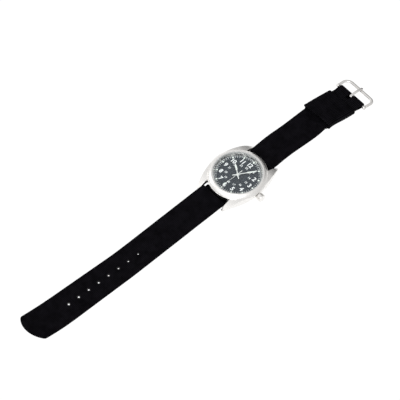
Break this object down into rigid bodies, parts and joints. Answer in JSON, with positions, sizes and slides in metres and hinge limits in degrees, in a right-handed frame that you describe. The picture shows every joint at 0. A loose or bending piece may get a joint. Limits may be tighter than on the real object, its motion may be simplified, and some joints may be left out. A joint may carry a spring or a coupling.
{
  "type": "wristwatch",
  "caption": "Round three-hand field watch: domed steel bezel, four lugs, pull-out crown, moving quartz gear train, and a one-piece woven strap with keeper sleeve and pin buckle.",
  "frame": {"origin": "on the hands' axis, on the underside of the strap where the watch rests", "axes": "+Z along the hands' axis towards the crystal; +Y towards 12 o'clock, along the strap to the buckle; +X towards the crown at 3 o'clock"},
  "size_m": [0.0417, 0.2719, 0.0087],
  "materials": {
    "brushed_case": "satin brushed",
    "polished_steel": "polished",
    "bar_steel": "turned",
    "movement_steel": "fine ground",
    "battery_steel": "pressed",
    "seal_rubber": "matt",
    "seal_plastic": "satin",
    "crystal_glass": "polished",
    "dial_lacquer": "matt",
    "hand_lacquer": "satin",
    "movement_brass": "satin",
    "plated_brass": "plated satin",
    "holder_plastic": "moulded",
    "rotor_plastic": "moulded",
    "core_iron": "annealed strip",
    "copper_wire": "enamelled",
    "board_laminate": "lacquered",
    "chip_plastic": "moulded",
    "strap_webbing": "ribbed weave"
  },
  "bodies": {
    "head": {"case_body": "brushed_case", "case_back": "brushed_case", "case_back_gasket": "seal_rubber", "crystal": "crystal_glass", "crystal_gasket": "seal_plastic", "dial_ring": "polished_steel", "crown_tube": "polished_steel", "dial": "dial_lacquer", "dial_washer": "movement_brass", "movement_holder": "holder_plastic", "main_plate": "plated_brass", "train_bridge": "plated_brass", "bridge_screws": "movement_steel", "clamp_screws": "movement_steel", "battery": "battery_steel", "battery_clamp": "movement_steel", "coil_core": "core_iron", "coil_winding": "copper_wire", "stator": "core_iron", "circuit_board": "board_laminate", "oscillator_can": "polished_steel", "driver_chip": "chip_plastic", "setting_jumper": "movement_steel", "spring_bar_tube_12": "bar_steel", "spring_bar_tube_6": "bar_steel", "spring_bar_spring_12": "bar_steel", "spring_bar_spring_6": "bar_steel", "strap_center": "strap_webbing"},
    "seconds": {"fourth_wheel": "movement_brass", "second_hand": "hand_lacquer"},
    "minutes": {"centre_wheel": "movement_brass", "cannon_pinion": "movement_steel", "minute_hand": "hand_lacquer"},
    "hours": {"hour_wheel": "movement_brass", "hour_hand": "hand_lacquer"},
    "third": {"third_wheel": "movement_brass"},
    "fifth": {"fifth_wheel": "movement_brass"},
    "rotor_body": {"rotor": "rotor_plastic"},
    "minute_work": {"minute_wheel": "movement_brass"},
    "setting_work": {"setting_wheel": "movement_steel"},
    "crown_carrier": {"crown_gasket": "seal_rubber"},
    "crown_stem": {"crown": "brushed_case", "stem": "movement_steel"},
    "clutch": {"sliding_pinion": "movement_steel"},
    "lever": {"setting_lever": "movement_steel"},
    "yoke_body": {"yoke": "movement_steel"},
    "strap_12": {"strap_buckle_side": "strap_webbing", "keeper_sleeve": "strap_webbing", "buckle_pin": "polished_steel"},
    "strap_6": {"strap_tip_side": "strap_webbing"},
    "buckle": {"buckle_frame": "polished_steel"},
    "tongue": {"buckle_tongue": "polished_steel"},
    "plunger_12_right": {"spring_bar_plunger_12_right": "bar_steel"},
    "plunger_12_left": {"spring_bar_plunger_12_left": "bar_steel"},
    "plunger_6_right": {"spring_bar_plunger_6_right": "bar_steel"},
    "plunger_6_left": {"spring_bar_plunger_6_left": "bar_steel"}
  },
  "joints": [
    {"name": "seconds_spin", "type": "hinge", "parent": "head", "child": "seconds", "pos_m": [0, 0, 0.0072], "axis": [0, 0, -1], "continuous": true},
    {"name": "minutes_spin", "type": "hinge", "parent": "head", "child": "minutes", "pos_m": [0, 0, 0.0069], "axis": [0, 0, -1], "continuous": true},
    {"name": "hours_spin", "type": "hinge", "parent": "head", "child": "hours", "pos_m": [0, 0, 0.0065], "axis": [0, 0, -1], "continuous": true},
    {"name": "third_spin", "type": "hinge", "parent": "head", "child": "third", "pos_m": [0.00187, 0.00324, 0.0037], "axis": [0, 0, -1], "continuous": true},
    {"name": "fifth_spin", "type": "hinge", "parent": "head", "child": "fifth", "pos_m": [-0.00306, -0.00215, 0.0037], "axis": [0, 0, -1], "continuous": true},
    {"name": "rotor_spin", "type": "hinge", "parent": "head", "child": "rotor_body", "pos_m": [-0.00396, -0.0037, 0.0037], "axis": [0, 0, -1], "continuous": true},
    {"name": "minute_wheel_spin", "type": "hinge", "parent": "head", "child": "minute_work", "pos_m": [0.00208, -0.0012, 0.0051], "axis": [0, 0, -1], "continuous": true},
    {"name": "setting_wheel_spin", "type": "hinge", "parent": "head", "child": "setting_work", "pos_m": [0.00469, -0.0005, 0.0051], "axis": [0, 0, -1], "continuous": true},
    {"name": "crown_pull", "type": "slide", "parent": "head", "child": "crown_carrier", "axis": [1, 0, 0], "range_m": [0, 0.001]},
    {"name": "crown_turn", "type": "hinge", "parent": "crown_carrier", "child": "crown_stem", "pos_m": [0.0205, 0, 0.00435], "axis": [1, 0, 0], "continuous": true},
    {"name": "clutch_slide", "type": "slide", "parent": "crown_stem", "child": "clutch", "axis": [-1, 0, 0], "range_m": [0, 0.00135]},
    {"name": "lever_turn", "type": "hinge", "parent": "head", "child": "lever", "pos_m": [0.0096, -0.0024, 0.0051], "axis": [0, 0, -1], "range_deg": [0, 23]},
    {"name": "yoke_turn", "type": "hinge", "parent": "head", "child": "yoke_body", "pos_m": [0.0079, 0.0028, 0.0051], "axis": [0, 0, -1], "range_deg": [0, 7.5]},
    {"name": "strap_12_fold", "type": "hinge", "parent": "head", "child": "strap_12", "pos_m": [0, 0.0209, 0.0025], "axis": [-1, 0, 0], "range_deg": [0, 80]},
    {"name": "strap_6_fold", "type": "hinge", "parent": "head", "child": "strap_6", "pos_m": [0, -0.0209, 0.0025], "axis": [1, 0, 0], "range_deg": [0, 80]},
    {"name": "buckle_swing", "type": "hinge", "parent": "strap_12", "child": "buckle", "pos_m": [0, 0.095, 0.00228], "axis": [1, 0, 0], "range_deg": [-30, 60]},
    {"name": "tongue_lift", "type": "hinge", "parent": "buckle", "child": "tongue", "pos_m": [0, 0.095, 0.00228], "axis": [1, 0, 0], "range_deg": [0, 75]},
    {"name": "plunger_12_right_press", "type": "slide", "parent": "head", "child": "plunger_12_right", "axis": [-1, 0, 0], "range_m": [0, 0.0008], "deforming": ["spring_bar_spring_12"]},
    {"name": "plunger_12_left_press", "type": "slide", "parent": "head", "child": "plunger_12_left", "axis": [1, 0, 0], "range_m": [0, 0.0008], "deforming": ["spring_bar_spring_12"]},
    {"name": "plunger_6_right_press", "type": "slide", "parent": "head", "child": "plunger_6_right", "axis": [-1, 0, 0], "range_m": [0, 0.0008], "deforming": ["spring_bar_spring_6"]},
    {"name": "plunger_6_left_press", "type": "slide", "parent": "head", "child": "plunger_6_left", "axis": [1, 0, 0], "range_m": [0, 0.0008], "deforming": ["spring_bar_spring_6"]}
  ],
  "couplings": [
    {"joint": "minutes_spin", "follows": "seconds_spin", "ratio": 0.016667},
    {"joint": "hours_spin", "follows": "seconds_spin", "ratio": 0.0013889},
    {"joint": "third_spin", "follows": "seconds_spin", "ratio": -0.13333},
    {"joint": "fifth_spin", "follows": "seconds_spin", "ratio": -7.5},
    {"joint": "rotor_spin", "follows": "seconds_spin", "ratio": 30},
    {"joint": "minute_wheel_spin", "follows": "seconds_spin", "ratio": -0.0055556},
    {"joint": "setting_wheel_spin", "follows": "seconds_spin", "ratio": 0.011111},
    {"joint": "clutch_slide", "follows": "crown_pull", "ratio": 1.35},
    {"joint": "lever_turn", "follows": "crown_pull", "rad_per_m": 399.7},
    {"joint": "yoke_turn", "follows": "crown_pull", "rad_per_m": 126.9}
  ]
}
